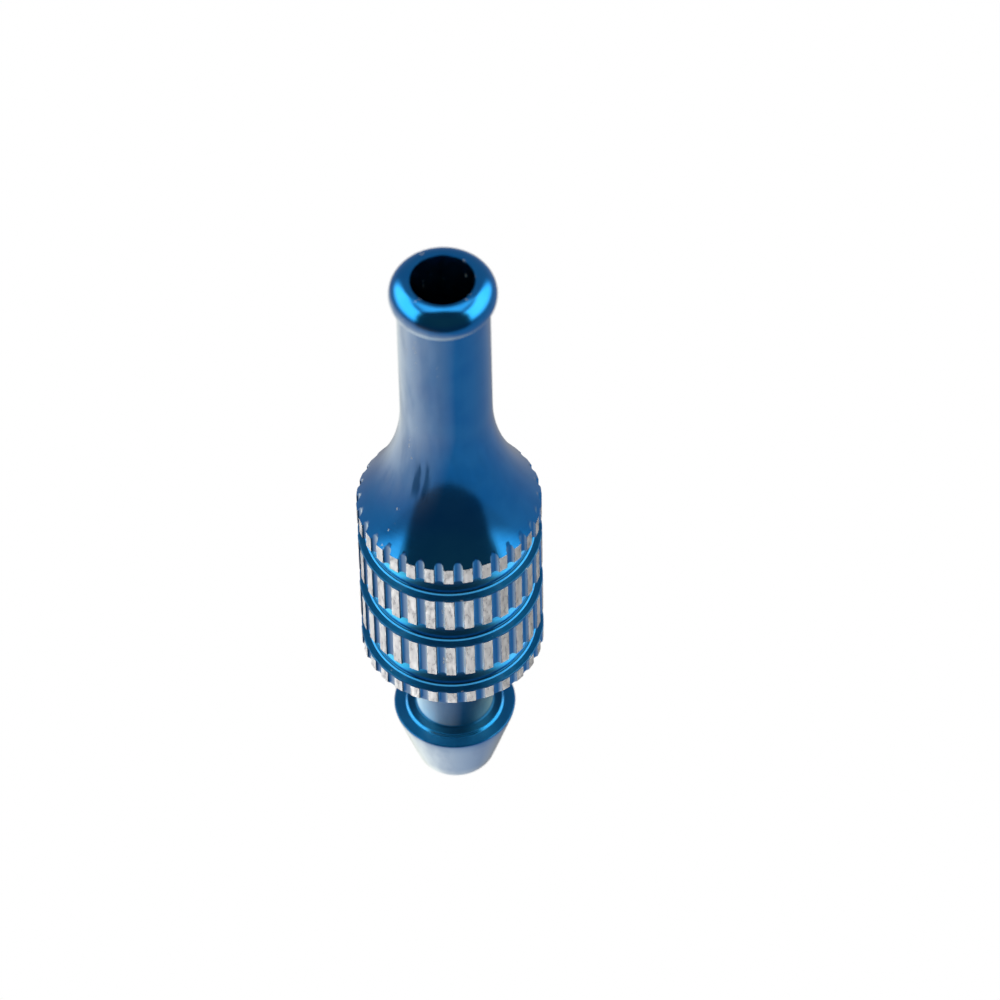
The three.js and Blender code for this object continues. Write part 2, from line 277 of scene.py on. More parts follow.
RING_WANDER = 0.02 * MM                    # keeps the turning marks from being perfect rings
DYE = ((0.010, 0.245, 0.76, 1), (0.020, 0.28, 0.80, 1))
PAINTED_SECOND_REFLECTION = (0.75, 0.95, 0.88, 1)     # painted reflection: a second reflection in the blue is hardly deeper in hue
PAINTED_DEEP_REFLECTION = (0.10, 0.25, 0.38, 1)      # painted shade: further reflections die away
PAINTED_LIGHT_SIDES = (-1.0 * MM, 1.6 * MM)          # painted light and shade: where the left side's strength gives way to the right side's
FACING_SHADE_RANGE = (0.52, 0.61)                      # painted shade towards the viewer: where it begins to count, and counts in full
SKIN_ROUGHNESS = 0.12
SKIN_IOR = 1.5
SKIN_SHARE = 0.15
GLINT_COLOR = (0.12, 0.62, 1.0, 1)
WORN_METAL = (0.80, 0.81, 0.82, 1)
WORN_SHARE = 0.8
DUST = (0.9, 0.94, 0.98, 1)
DUST_SHARE = 0.5

# Painted light: a glow emitted by the blue, brightest where a surface faces the paper on the left.
PAINTED_GLOW_COLOR = (0.95, 1.0, 0.89, 1)
PAINTED_GLOW_FROM = (-0.70, -0.12, -0.707)      # the painted glow seems to come from here: the paper low on the left, which the skin picks up
PAINTED_GLOW = 0.46
PAINTED_GLOW_STREAKS = (0.72, 1.08)
PAINTED_GLOW_AT_FOOT = (0.12, 0.28)             # a second painted glow on the barb's cone, away from and towards the paper
FOOT_HEIGHTS = (3 * MM, 8 * MM)            # this second painted glow fades out between them

RUB_ANGLE = -0.50                          # the scratches' middle, in radians from the front
RUB_HEIGHT = 32.0 * MM
RUB_HALF_ANGLE = (0.10, 0.24)              # full out to the first, gone at the second
RUB_HALF_HEIGHT = (0.8 * MM, 2.0 * MM)
RUB_RADIUS = 4 * MM
RUB_STRETCH = 0.16
RUB_DYE_LOSS = 0.5
RUB_PAINTED_GLOW = 0.25                         # share of the painted glow that is left in a scratch

CREST_TINTS = ((0.42, 0.42, 0.43, 1), (0.94, 0.93, 0.93, 1))
TORN_SHARE = 0.6
PAINTED_GLARE = 2.2    # painted glare: the torn cut's diffuse colour is scaled past white, so it returns more than a matt white would
RUBBER_TINTS = ((0.012, 0.012, 0.013, 1), (0.03, 0.03, 0.032, 1))
RUBBER_GLOSS_TINT = (0.77, 0.74, 1.0, 1)   # takes the studio's tint out of the rubber's gloss
FIBRE_TINTS = ((0.30, 0.05, 0.035, 1), (0.52, 0.12, 0.07, 1))
BRASS_TINTS = ((0.58, 0.38, 0.13, 1), (0.72, 0.5, 0.2, 1))
STEEL_TINTS = ((0.5, 0.5, 0.5, 1), (0.66, 0.66, 0.65, 1))


def worn_spots(tree, position):
    """Small nicks on sharp edges, where the dyed skin has gone."""
    pointiness = put(tree, "ShaderNodeNewGeometry").outputs["Pointiness"]
    patches = ramp(tree, noise(tree, position, 1500.0, 3.0, 0.6), 0.62, 0.68)
    return product(tree, ramp(tree, pointiness, 0.53, 0.58), patches)


def dust_spots(tree, position):
    """A few specks of dust, in the middles of a few cells."""
    cells = put(tree, "ShaderNodeTexVoronoi", {"Vector": position, "Scale": 430.0, "Randomness": 1.0})
    near = ramp(tree, cells.outputs["Distance"], 0.018, 0.03, 1.0, 0.0)
    chance = put(tree, "ShaderNodeSeparateColor", {0: cells.outputs["Color"]}).outputs[0]
    return product(tree, near, ramp(tree, chance, 0.965, 0.97))


def rub_marks(tree, position):
    """Upright scratches on the left of the shoulder."""
    x, y, z = axes(tree, position)
    angle = math_node(tree, "ARCTAN2", x, product(tree, y, -1.0))
    around = product(tree, angle, RUB_RADIUS)
    upright = put(tree, "ShaderNodeCombineXYZ", {0: around, 2: product(tree, z, RUB_STRETCH)}).outputs[0]
    marks = ramp(tree, noise(tree, upright, 1700.0, 2.0), 0.44, 0.62)
    in_angle = ramp(tree, apart(tree, angle, RUB_ANGLE), *RUB_HALF_ANGLE, 1.0, 0.0)
    in_height = ramp(tree, apart(tree, z, RUB_HEIGHT), *RUB_HALF_HEIGHT, 1.0, 0.0)
    return product(tree, marks, in_angle, in_height)


def painted_scatter_glow(tree, normal, position):
    """Painted glow for light from the white paper, scattered in the clear skin. It grows at low angles of
    view.
    """
    geometry = put(tree, "ShaderNodeNewGeometry").outputs
    height = axes(tree, geometry["Position"])[2]
    toward = dot(tree, normal, PAINTED_GLOW_FROM)
    downward = dot(tree, normal, (0, 0, -1))
    streaks = noise(tree, stretched(tree, position, (1.0, 1.0, 0.22)), 900.0, 3.0)
    left = product(tree, ramp(tree, toward, -0.05, 0.8, 0.0, PAINTED_GLOW, "LINEAR"),
                   ramp(tree, downward, -0.5, -0.25),
                   ramp(tree, rub_marks(tree, position), 0.0, 1.0, 1.0, RUB_PAINTED_GLOW),
                   ramp(tree, streaks, 0.3, 0.6, *PAINTED_GLOW_STREAKS))
    foot = product(tree, ramp(tree, toward, 0.3, 0.75, *PAINTED_GLOW_AT_FOOT),
                   ramp(tree, height, *FOOT_HEIGHTS, 1.0, 0.0),
                   ramp(tree, downward, 0.05, 0.25))
    facing = dot(tree, normal, geometry["Incoming"])
    slant = ramp(tree, facing, 0.95, 0.2, 0.0, 1.0, "LINEAR")
    return emission(tree, PAINTED_GLOW_COLOR, product(tree, math_node(tree, "ADD", left, foot), slant))


def anodised_blue(name, scratches_and_painted_haze=False, roughness=(0.12, 0.17), painted_light_left=1.0, painted_light_right=1.0,
                  painted_shade_facing=1.0, glint=0.0):
    """Dyed oxide over turned aluminium: a blue mirror under a clear skin.

    With scratches and painted haze, the skin loses dye in its scratches and gets a painted glow at low
    angles. The left and right strengths are painted light and shade on the piece's two sides, the
    facing share is painted shade where the surface faces the viewer, and glint is a painted glow
    that is added.
    """
    material, tree = new_material(name)
    position, rings = turned_coordinates(tree)
    cloud = noise(tree, position, 420.0, 3.0)
    grain = noise(tree, position, 9000.0, 2.0)
    lines = noise(tree, rings, 14000.0, 3.0, 0.7)
    normal = bump(tree, math_node(tree, "ADD", product(tree, grain, 0.6), lines), 0.0006 * MM)

    # Painted light and shade: the reflection is made stronger or weaker on the piece's left and right.
    strength = ramp(tree, axes(tree, position)[0], *PAINTED_LIGHT_SIDES, painted_light_left, painted_light_right)
    # Painted shade where the surface faces the viewer.
    if painted_shade_facing < 1:
        facing = dot(tree, normal, put(tree, "ShaderNodeNewGeometry").outputs["Incoming"])
        strength = product(tree, strength, ramp(tree, facing, *FACING_SHADE_RANGE, 1.0, painted_shade_facing))
    dye = scaled(tree, mix_color(tree, ramp(tree, cloud, 0.35, 0.65), *DYE), strength)
    # Painted reflections: the colour seen in a second or deeper reflection is set by the ray's depth.
    bounce = put(tree, "ShaderNodeLightPath").outputs["Glossy Depth"]
    dye = mix_color(tree, ramp(tree, bounce, 0.0, 1.0, kind="LINEAR"), dye, PAINTED_SECOND_REFLECTION)
    dye = mix_color(tree, ramp(tree, bounce, 1.0, 2.0, kind="LINEAR"), dye, PAINTED_DEEP_REFLECTION)
    if scratches_and_painted_haze:
        loss = product(tree, rub_marks(tree, position), RUB_DYE_LOSS)
        dye = scaled(tree, dye, math_node(tree, "SUBTRACT", 1.0, loss))

    shader = put(tree, "ShaderNodeBsdfPrincipled", {
        "Base Color": dye, "Metallic": 1.0, "Normal": normal,
        "Roughness": ramp(tree, lines, 0.3, 0.7, *roughness, "LINEAR"), "Coat Weight": SKIN_SHARE,
        "Coat Roughness": SKIN_ROUGHNESS, "Coat IOR": SKIN_IOR, "Coat Normal": normal}).outputs[0]
    # Painted glow, added as an emission.
    if scratches_and_painted_haze:
        shader = add_shader(tree, shader, painted_scatter_glow(tree, normal, position))
    if glint > 0:
        shader = add_shader(tree, shader, emission(tree, GLINT_COLOR, glint))
    worn = put(tree, "ShaderNodeBsdfPrincipled", {
        "Base Color": WORN_METAL, "Metallic": 0.7, "Roughness": 0.45}).outputs[0]
    shader = mix_shader(tree, product(tree, worn_spots(tree, position), WORN_SHARE), shader, worn)
    dust = put(tree, "ShaderNodeBsdfDiffuse", {"Color": DUST}).outputs[0]
    output(tree, mix_shader(tree, product(tree, dust_spots(tree, position), DUST_SHARE), shader, dust))
    return material


def bare_aluminium():
    """Flute crests, skimmed after dyeing: bright metal with a torn, grainy cut."""
    material, tree = new_material("bare_aluminium")
    position, rings = turned_coordinates(tree)
    mottle = noise(tree, stretched(tree, position, (1.0, 1.0, 0.4)), 3600.0, 5.0, 0.75)
    lines = noise(tree, rings, 9000.0, 2.0)
    normal = bump(tree, math_node(tree, "ADD", mottle, product(tree, lines, 0.5)), 0.004 * MM)
    tint = mix_color(tree, ramp(tree, mottle, 0.35, 0.65), *CREST_TINTS)
    metal = put(tree, "ShaderNodeBsdfPrincipled", {
        "Base Color": tint, "Metallic": 1.0, "Roughness": 0.42, "Normal": normal}).outputs[0]
    # The diffuse part carries the painted glare.
    torn = put(tree, "ShaderNodeBsdfDiffuse", {
        "Color": scaled(tree, tint, PAINTED_GLARE), "Normal": normal}).outputs[0]
    output(tree, mix_shader(tree, TORN_SHARE, metal, torn))
    return material


def turned_metal(name, tints, roughness):
    """A plain machined metal with fine turning rings and slight staining."""
    material, tree = new_material(name)
    position, rings = turned_coordinates(tree)
    stain = noise(tree, position, 700.0, 4.0, 0.6)
    lines = noise(tree, rings, 11000.0, 3.0, 0.6)
    metal = put(tree, "ShaderNodeBsdfPrincipled", {
        "Base Color": mix_color(tree, ramp(tree, stain, 0.35, 0.7), *tints), "Metallic": 1.0,
        "Roughness": ramp(tree, stain, 0.3, 0.7, *roughness, "LINEAR"),
        "Normal": bump(tree, lines, 0.002 * MM)})
    output(tree, metal.outputs[0])
    return material


def seal_rubber():
    """Black rubber with a faint bloom."""
    material, tree = new_material("seal_rubber")
    position, _ = turned_coordinates(tree)
    grain = noise(tree, position, 12000.0, 3.0)
    bloom = noise(tree, position, 900.0, 3.0)
    rubber = put(tree, "ShaderNodeBsdfPrincipled", {
        "Base Color": mix_color(tree, ramp(tree, bloom, 0.35, 0.7), *RUBBER_TINTS),
        "Roughness": ramp(tree, bloom, 0.3, 0.7, 0.42, 0.6, "LINEAR"),
        "Normal": bump(tree, grain, 0.003 * MM), "Specular Tint": RUBBER_GLOSS_TINT})
    output(tree, rubber.outputs[0])
    return material


def gasket_fibre():
    """Red vulcanised fibre, with its threads lying one way."""
    material, tree = new_material("gasket_fibre")
    position, _ = turned_coordinates(tree)
    fibres = noise(tree, stretched(tree, position, (1.0, 0.2, 1.0)), 9000.0, 5.0, 0.7)
    fibre = put(tree, "ShaderNodeBsdfPrincipled", {
        "Base Color": mix_color(tree, ramp(tree, fibres, 0.3, 0.7), *FIBRE_TINTS),
        "Roughness": 0.8, "Normal": bump(tree, fibres, 0.01 * MM)})
    output(tree, fibre.outputs[0])
    return material


# The main blue gets the painted glow.
BLUE = anodised_blue("blue_anodised", scratches_and_painted_haze=True)
BLUE_INSIDE = anodised_blue("blue_anodised_inside")
# A rough copy of the blue for the tail neck, with painted light on its left and painted shade on its right.
BLUE_DULL_PAINTED_LIGHT = anodised_blue("blue_anodised_dull_painted_light", scratches_and_painted_haze=True, roughness=(0.48, 0.56), painted_light_left=0.8,
                          painted_light_right=0.3)
# Painted shade: a darker copy of the blue for walls and corners that lie in shade.
BLUE_PAINTED_SHADE = anodised_blue("blue_anodised_painted_shade", roughness=(0.3, 0.4), painted_light_left=0.3, painted_light_right=0.3)
# A rougher satin copy of the blue with painted shade: its reflection is halved.
BLUE_SATIN_PAINTED_SHADE = anodised_blue("blue_anodised_satin_painted_shade", roughness=(0.42, 0.5), painted_light_left=0.5, painted_light_right=0.5)
# Painted light for the grooves' fillets: a brighter copy of the blue, with painted shade where it faces the
# viewer.
BLUE_WALL_PAINTED_LIGHT = anodised_blue("blue_anodised_wall_painted_light", painted_light_left=1.5, painted_light_right=1.25, painted_shade_facing=0.28)
# Painted highlight for the fine ridge: a brighter copy of the blue with a painted glow.
BLUE_PAINTED_HIGHLIGHT = anodised_blue("blue_anodised_painted_highlight", roughness=(0.5, 0.6), painted_light_left=1.2, painted_light_right=1.2,
                          glint=0.3)
BARE = bare_aluminium()
BRASS = turned_metal("brass", BRASS_TINTS, (0.24, 0.36))
STEEL = turned_metal("stainless", STEEL_TINTS, (0.2, 0.32))
RUBBER = seal_rubber()
FIBRE = gasket_fibre()


# ---------------------------------------------------------------- mesh helpers

def finish_mesh(name, mesh, body, node, materials, sharp_degrees=32.0):
    """Names, shades, paints and mounts a finished mesh in place of its CAD node."""
    work = bmesh.new()
    work.from_mesh(mesh)
    bmesh.ops.recalc_face_normals(work, faces=work.faces)
    work.to_mesh(mesh)
    work.free()
    mesh.polygons.foreach_set("use_smooth", [True] * len(mesh.polygons))
    mesh.set_sharp_from_angle(angle=math.radians(sharp_degrees))
    piece = bpy.data.objects.new(name, mesh)
    bpy.context.scene.collection.objects.link(piece)
    for material in materials:
        mesh.materials.append(material)
    if body is not None:
        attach(piece, body)
    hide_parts(node)
    return piece


def grid_mesh(name, radii, heights, angles):
    """A closed surface of revolution. radii and heights are rows by angles, and both directions wrap."""
    rows, columns = radii.shape
    x = radii * np.sin(angles)
    y = -radii * np.cos(angles)
    points = np.stack([x, y, heights], axis=-1).reshape(-1, 3)
    row = np.arange(rows)[:, None]
    column = np.arange(columns)[None, :]
    next_row = (row + 1) % rows
    next_column = (column + 1) % columns
    quads = np.stack([row * columns + column, row * columns + next_column,
                      next_row * columns + next_column, next_row * columns + column], axis=-1)
    mesh = bpy.data.meshes.new(name)
    mesh.from_pydata(points.tolist(), [], quads.reshape(-1, 4).tolist())
    mesh.update()
    return mesh


def even_angles(columns):
    return np.arange(columns) * TURN / columns


def lathe(name, profile, columns=128):
    """Turns a closed list of (radius, height) points, outside upwards, about the axis."""
    angles = even_angles(columns)
    radii = np.array([[r] * columns for r, _ in profile])
    heights = np.array([[z] * columns for _, z in profile])
    return grid_mesh(name, radii, heights, angles)


def arc(centre_r, centre_z, radius, start_degrees, end_degrees, steps):
    """Points of an arc in the section plane. Degrees run from the outward direction towards +Z."""
    angles = np.radians(np.linspace(start_degrees, end_degrees, steps + 1))
    return [(centre_r + radius * math.cos(a), centre_z + radius * math.sin(a)) for a in angles]


def ring_profile(inner, outer, bottom, top, edge):
    """A rectangular section with broken edges."""
    return (arc(outer - edge, bottom + edge, edge, -90, 0, 3) + arc(outer - edge, top - edge, edge, 0, 90, 3)
            + arc(inner + edge, top - edge, edge, 90, 180, 3)
            + arc(inner + edge, bottom + edge, edge, 180, 270, 3))


def broken(points, edge, closed):
    """The same outline with every corner cut off by a small edge. An open outline keeps its ends."""
    result = []
    for i, (r, z) in enumerate(points):
        if not closed and i in (0, len(points) - 1):
            result.append((r, z))
            continue
        for other_r, other_z in (points[i - 1], points[(i + 1) % len(points)]):
            share = edge / math.hypot(other_r - r, other_z - z)
            result.append((r + share * (other_r - r), z + share * (other_z - z)))
    return result


def lathe_from_axis(name, profile, columns=128):
    """Turns an open list of (radius, height) points that starts and ends on the axis."""
    angles = even_angles(columns)
    work = bmesh.new()
    rows = []
    for r, z in profile[1:-1]:
        rows.append([work.verts.new((r * math.sin(a), -r * math.cos(a), z)) for a in angles])
    for lower, upper in zip(rows, rows[1:]):
        for i in range(columns):
            j = (i + 1) % columns
            work.faces.new((lower[i], lower[j], upper[j], upper[i]))
    for row, (_, z) in ((rows[0], profile[0]), (rows[-1], profile[-1])):
        pole = work.verts.new((0, 0, z))
        for i in range(columns):
            work.faces.new((row[i], row[(i + 1) % columns], pole))
    mesh = bpy.data.meshes.new(name)
    work.to_mesh(mesh)
    work.free()
    return mesh


def wires(name, paths, radius, sides):
    """Round wires along (points, closed) paths that wind about the filter's axis."""
    points, faces = [], []
    around = even_angles(sides)
    for path, closed in paths:
        tangent = np.roll(path, -1, axis=0) - np.roll(path, 1, axis=0)
        if not closed:
            tangent[0] = path[1] - path[0]
            tangent[-1] = path[-1] - path[-2]
        tangent /= np.linalg.norm(tangent, axis=1, keepdims=True)
        outward = path * (1, 1, 0)
        outward -= tangent * np.sum(outward * tangent, axis=1, keepdims=True)
        outward /= np.linalg.norm(outward, axis=1, keepdims=True)
        across = np.cross(tangent, outward)
        rings = (path[:, None, :] + radius * np.cos(around)[None, :, None] * outward[:, None, :]
                 + radius * np.sin(around)[None, :, None] * across[:, None, :])
        start = len(points)
        points.extend(rings.reshape(-1, 3).tolist())
        count = len(path)
        for i in range(count if closed else count - 1):
            for k in range(sides):
                m = (k + 1) % sides
                n = (i + 1) % count
                faces.append((start + i * sides + k, start + i * sides + m,
                              start + n * sides + m, start + n * sides + k))
        if not closed:
            faces.append([start + k for k in reversed(range(sides))])
            faces.append([start + (count - 1) * sides + k for k in range(sides)])
    mesh = bpy.data.meshes.new(name)
    mesh.from_pydata(points, [], faces)
    mesh.update()
    return mesh


def rods(placements, radius, length, sides):
    """Round rods, each centred on a place and pointing along a direction, for cutting holes."""
    work = bmesh.new()
    for place, direction in placements:
        turn = Vector((0, 0, 1)).rotation_difference(Vector(direction)).to_matrix().to_4x4()
        bmesh.ops.create_cone(work, cap_ends=True, segments=sides, radius1=radius, radius2=radius,
                              depth=length, matrix=Matrix.Translation(place) @ turn)
    mesh = bpy.data.meshes.new("rods")
    work.to_mesh(mesh)
    work.free()
    return mesh


def cut(mesh, tool_mesh):
    """The mesh with the tool's solids taken out."""
    target = bpy.data.objects.new("target", mesh)
    tool = bpy.data.objects.new("tool", tool_mesh)
    for thing in (target, tool):
        bpy.context.scene.collection.objects.link(thing)
    modifier = target.modifiers.new("cut", "BOOLEAN")
    modifier.operation = "DIFFERENCE"
    modifier.solver = "EXACT"
    modifier.object = tool
    result = bpy.data.meshes.new_from_object(target.evaluated_get(bpy.context.evaluated_depsgraph_get()))
    for thing in (target, tool):
        bpy.data.objects.remove(thing)
    return result


def face_centres(mesh):
    centres = np.empty(3 * len(mesh.polygons))
    mesh.polygons.foreach_get("center", centres)
    return centres.reshape(-1, 3)


# ---------------------------------------------------------------- the barrel

def flute_angles_and_radii():
    """Angles across every crest and flute, and the fluted radius at each. A crest faces -Y."""
    half_flute = FLUTE_SHARE / 2
    half_crest = 0.5 - half_flute - CREST_ROUNDING
    floor = BARREL_R - CREST_DROP
    crest = [(u * half_crest, BARREL_R) for u in (-1.0, -0.5, 0.0, 0.5, 1.0)]
    across = (-1.0, -0.985, -0.94, -0.84, -0.6, -0.3, 0.0, 0.3, 0.6, 0.84, 0.94, 0.985, 1.0)
    flute = [(0.5 + u * half_flute, floor - (floor - FLUTE_R) * math.sqrt(1 - abs(u) ** FLUTE_SQUARENESS))
             for u in across]
    one = crest + flute
    angles = [(k + u) * TURN / FLUTE_COUNT for k in range(FLUTE_COUNT) for u, _ in one]
    radii = [r for _ in range(FLUTE_COUNT) for _, r in one]
    on_crest = [i < len(crest) - 1 for _ in range(FLUTE_COUNT) for i in range(len(one))]
    return np.array(angles), np.array(radii), np.array(on_crest)


def shoulder_radius(z):
    """The shoulder is a parabola that runs into the neck."""
    share = np.clip((SHOULDER_END - z) / (SHOULDER_END - SHOULDER_Z), 0.0, 1.0)
    return NECK_R + (BARREL_R - NECK_R) * share ** 2


def shoulder_height(radius):
    share = np.sqrt((radius - NECK_R) / (BARREL_R - NECK_R))
    return SHOULDER_END - share * (SHOULDER_END - SHOULDER_Z)


def thread_rows(mean_r, bottom, top, angles, step):
    """Rows of a rounded right-hand thread that fades out at both ends."""
    theta = np.arctan2(-np.cos(angles), np.sin(angles))
    rows = []
    for z in np.linspace(bottom, top, max(2, round((top - bottom) / step)) + 1):
        fade = max(0.0, min(1.0, (z - bottom) / THREAD_FADE, (top - z) / THREAD_FADE))
        wave = np.cos(TURN * z / THREAD_PITCH - theta)
        radius = mean_r - THREAD_WAVE + THREAD_WAVE * (1 + wave) * fade
        rows.append((radius, np.full_like(angles, z)))
    return rows


class BarrelRows:
    """The barrel's section, row by row. Each row holds the material of the faces between it and the next."""

    def __init__(self):
        self.angles, self.fluted, self.on_crest = flute_angles_and_radii()
        self.rows = []

    def add(self, radius, height, look=BLUE, flutes=True):
        radius = np.broadcast_to(radius, self.angles.shape)
        height = np.broadcast_to(height, self.angles.shape)
        self.rows.append((np.minimum(radius, self.fluted) if flutes else radius, height, look))

    def add_all(self, points, look=BLUE, flutes=True):
        for radius, height in points:
            self.add(radius, height, look, flutes)

    def paint(self, looks):
        """The material number of each face. A bare row is bare on its crests only.

        In such a row the left wall of each flute gets painted shade, a darker copy of the blue, and the rest
        of the flute is plain.
        """
        numbers = np.array([[looks.index(look)] * len(self.angles) for _, _, look in self.rows])
        bare = np.array([look is BARE for _, _, look in self.rows])
        shaded_left_walls = np.roll(self.on_crest, 3) & ~self.on_crest
        numbers[np.ix_(bare, ~self.on_crest)] = looks.index(BLUE)
        numbers[np.ix_(bare, shaded_left_walls)] = looks.index(BLUE_PAINTED_SHADE)
        return numbers.reshape(-1).astype(np.int32)


def add_band(section, bottom, top):
    """One fluted band with broken edges and its plain rim, then the ledge of the groove above it."""
    section.add(BARREL_R - CORNER, bottom, BARE)
    straight = top - bottom - 2 * CORNER
    for share in (0.0, 0.33, 0.67):
        section.add(BARREL_R, bottom + CORNER + share * straight, BARE)
    # Rims and ledges get the satin blue with painted shade.
    section.add(BARREL_R, top - RIM_HEIGHT, BLUE_SATIN_PAINTED_SHADE)
    section.add(RIM_R, top - RIM_HEIGHT + RIM_STEP, BLUE_SATIN_PAINTED_SHADE, flutes=False)
    section.add(RIM_R, top - RIM_CHAMFER, BLUE_SATIN_PAINTED_SHADE, flutes=False)
    section.add(RIM_R - RIM_CHAMFER, top, BLUE_SATIN_PAINTED_SHADE, flutes=False)
    ridge = arc(RIDGE_R, top, RIDGE, 0, 180, 6)
    # The ridge gets a painted highlight.
    section.add_all(ridge[:-1], BLUE_PAINTED_HIGHLIGHT)
    section.add_all(ridge[-1:], BLUE_SATIN_PAINTED_SHADE)


def add_bands(section):
    """The bands and grooves, and the short band that runs out on the shoulder."""
    section.add(BARREL_R - EDGE_CHAMFER, BARREL_BOTTOM)
    section.add(FLUTE_R, BARREL_BOTTOM + FLUTE_R - BARREL_R + EDGE_CHAMFER)
    bottom = BARREL_BOTTOM + EDGE_CHAMFER
    for groove_bottom, groove_top in GROOVES:
        add_band(section, bottom, groove_bottom)
        # The groove's fillets get painted light and shade.
        section.add_all(arc(GROOVE_R + FILLET, groove_bottom + FILLET, FILLET, 270, 180, 3), BLUE_WALL_PAINTED_LIGHT)
        section.add_all(arc(GROOVE_R + FILLET, groove_top - FILLET, FILLET, 180, 90, 3), BLUE_WALL_PAINTED_LIGHT)
        bottom = groove_top
    section.add(BARREL_R - CORNER, bottom, BARE)
    for share in (0.04, 0.35, 0.7):
        section.add(BARREL_R, bottom + share * (SHOULDER_Z - bottom), BARE)
    section.add(BARREL_R, SHOULDER_Z)


def add_shoulder(section):
    """The shoulder, with the flutes' ends in its foot."""
    run_out = np.maximum(shoulder_height(section.fluted), SHOULDER_Z + CORNER)
    for share in (0.25, 0.5, 0.75, 1.0):
        z = SHOULDER_Z + share * (run_out - SHOULDER_Z)
        section.add(shoulder_radius(z), z)
    clear = SHOULDER_Z + RUN_OUT
    for share in (0.5, 1.0):
        z = run_out + share * (clear - run_out)
        section.add(shoulder_radius(z), z, flutes=False)
    for z in np.linspace(clear, SHOULDER_END, 22)[1:]:
        section.add(shoulder_radius(z), z, flutes=False)


def add_neck_and_bead(section):
    """The neck, the fillet under the bead, and the bead as far as the bore's mouth."""
    reach = BEAD_TUBE_R + BEAD_FILLET
    under = math.degrees(math.asin((NECK_R + BEAD_FILLET - BEAD_RING_R) / reach))
    seat_z = BEAD_Z - reach * math.cos(math.radians(under))
    for z in np.linspace(SHOULDER_END, seat_z, 4)[1:-1]:
        section.add(NECK_R, z, flutes=False)
    section.add_all(arc(NECK_R + BEAD_FILLET, seat_z, BEAD_FILLET, 180, 90 + under, 5), flutes=False)
    mouth = 180 - math.degrees(math.acos((BEAD_RING_R - BORE_EDGE_R) / BEAD_TUBE_R))
    bead = arc(BEAD_RING_R, BEAD_Z, BEAD_TUBE_R, under - 90, mouth, 30)[1:]
    section.add_all(bead[:-1], flutes=False)
    section.add_all(bead[-1:], BLUE_INSIDE, flutes=False)


def add_inside(section):
    """The bore, the cartridge's chamber, its thread and the mouth for the plug's collar."""
    bore = [(BORE_R, z) for z in np.linspace(BORE_TOP, CHAMBER_TOP + CORNER, 3)]
    chamber = [(BORE_R + CORNER, CHAMBER_TOP), (CHAMBER_R - FILLET, CHAMBER_TOP),
               (CHAMBER_R, CHAMBER_TOP - FILLET)]
    thread = thread_rows(THREAD_MEAN_R + THREAD_CLEARANCE, BARREL_THREAD_BOTTOM,
                         MOUTH_TOP + THREAD_LENGTH + THREAD_FADE, section.angles, THREAD_PITCH / 8)
    mouth = [(MOUTH_R - CORNER, MOUTH_TOP), (MOUTH_R, MOUTH_TOP - CORNER),
             (MOUTH_R, BARREL_BOTTOM + CORNER), (MOUTH_R + CORNER, BARREL_BOTTOM)]
    for points in (bore, chamber, reversed(thread), mouth):
        section.add_all(points, BLUE_INSIDE, flutes=False)


def make_barrel():
    section = BarrelRows()
    add_bands(section)
    add_shoulder(section)
    add_neck_and_bead(section)
    add_inside(section)
    radii = np.array([r for r, _, _ in section.rows])
    heights = np.array([z for _, z, _ in section.rows])
    mesh = grid_mesh("barrel", radii, heights, section.angles)
    looks = [BLUE, BARE, BLUE_INSIDE, BLUE_PAINTED_SHADE, BLUE_PAINTED_HIGHLIGHT, BLUE_SATIN_PAINTED_SHADE, BLUE_WALL_PAINTED_LIGHT]
    finish_mesh("barrel", mesh, "body", "barrel_body", looks)
    mesh.polygons.foreach_set("material_index", section.paint(looks))


# ---------------------------------------------------------------- the tail plug

def plug_outline():
    """The plug's section below its thread: cone, barb, the step on its back, neck and collar."""
    points = [(TIP_R + out, up) for out, up in TIP_EDGE]
    for share in (0.2, 0.4, 0.6, 0.8, 0.96):
        points.append((TIP_R + share * (BARB_R - TIP_R), share * BARB_EDGE_Z))
    points += arc(BARB_R - PLUG_CHAMFER, BARB_BACK_Z - PLUG_CHAMFER, PLUG_CHAMFER, -15, 90, 6)
    round_r = BARB_STEP / 2
    points += arc(BARB_BACK_R, BARB_BACK_Z + round_r, round_r, 270, 200, 6)
    points += arc(BARB_BACK_R - 2 * round_r, STEP_TOP - round_r, round_r, 20, 90, 6)
    neck_bottom = STEP_TOP + TAIL_NECK_FILLET
    points += arc(TAIL_NECK_R + TAIL_NECK_FILLET, neck_bottom, TAIL_NECK_FILLET, 270, 180, 8)
    points += [(TAIL_NECK_R, z) for z in np.linspace(neck_bottom, COLLAR_BOTTOM - FILLET, 5)[1:-1]]
    points += arc(TAIL_NECK_R + FILLET, COLLAR_BOTTOM - FILLET, FILLET, 180, 90, 4)
    points += arc(COLLAR_R - CORNER, COLLAR_BOTTOM + CORNER, CORNER, -90, 0, 3)
    points += arc(COLLAR_R - CORNER, COLLAR_TOP - CORNER, CORNER, 0, 90, 3)
    points += arc(SHANK_R + FILLET, COLLAR_TOP + FILLET, FILLET, 270, 180, 4)
    return points


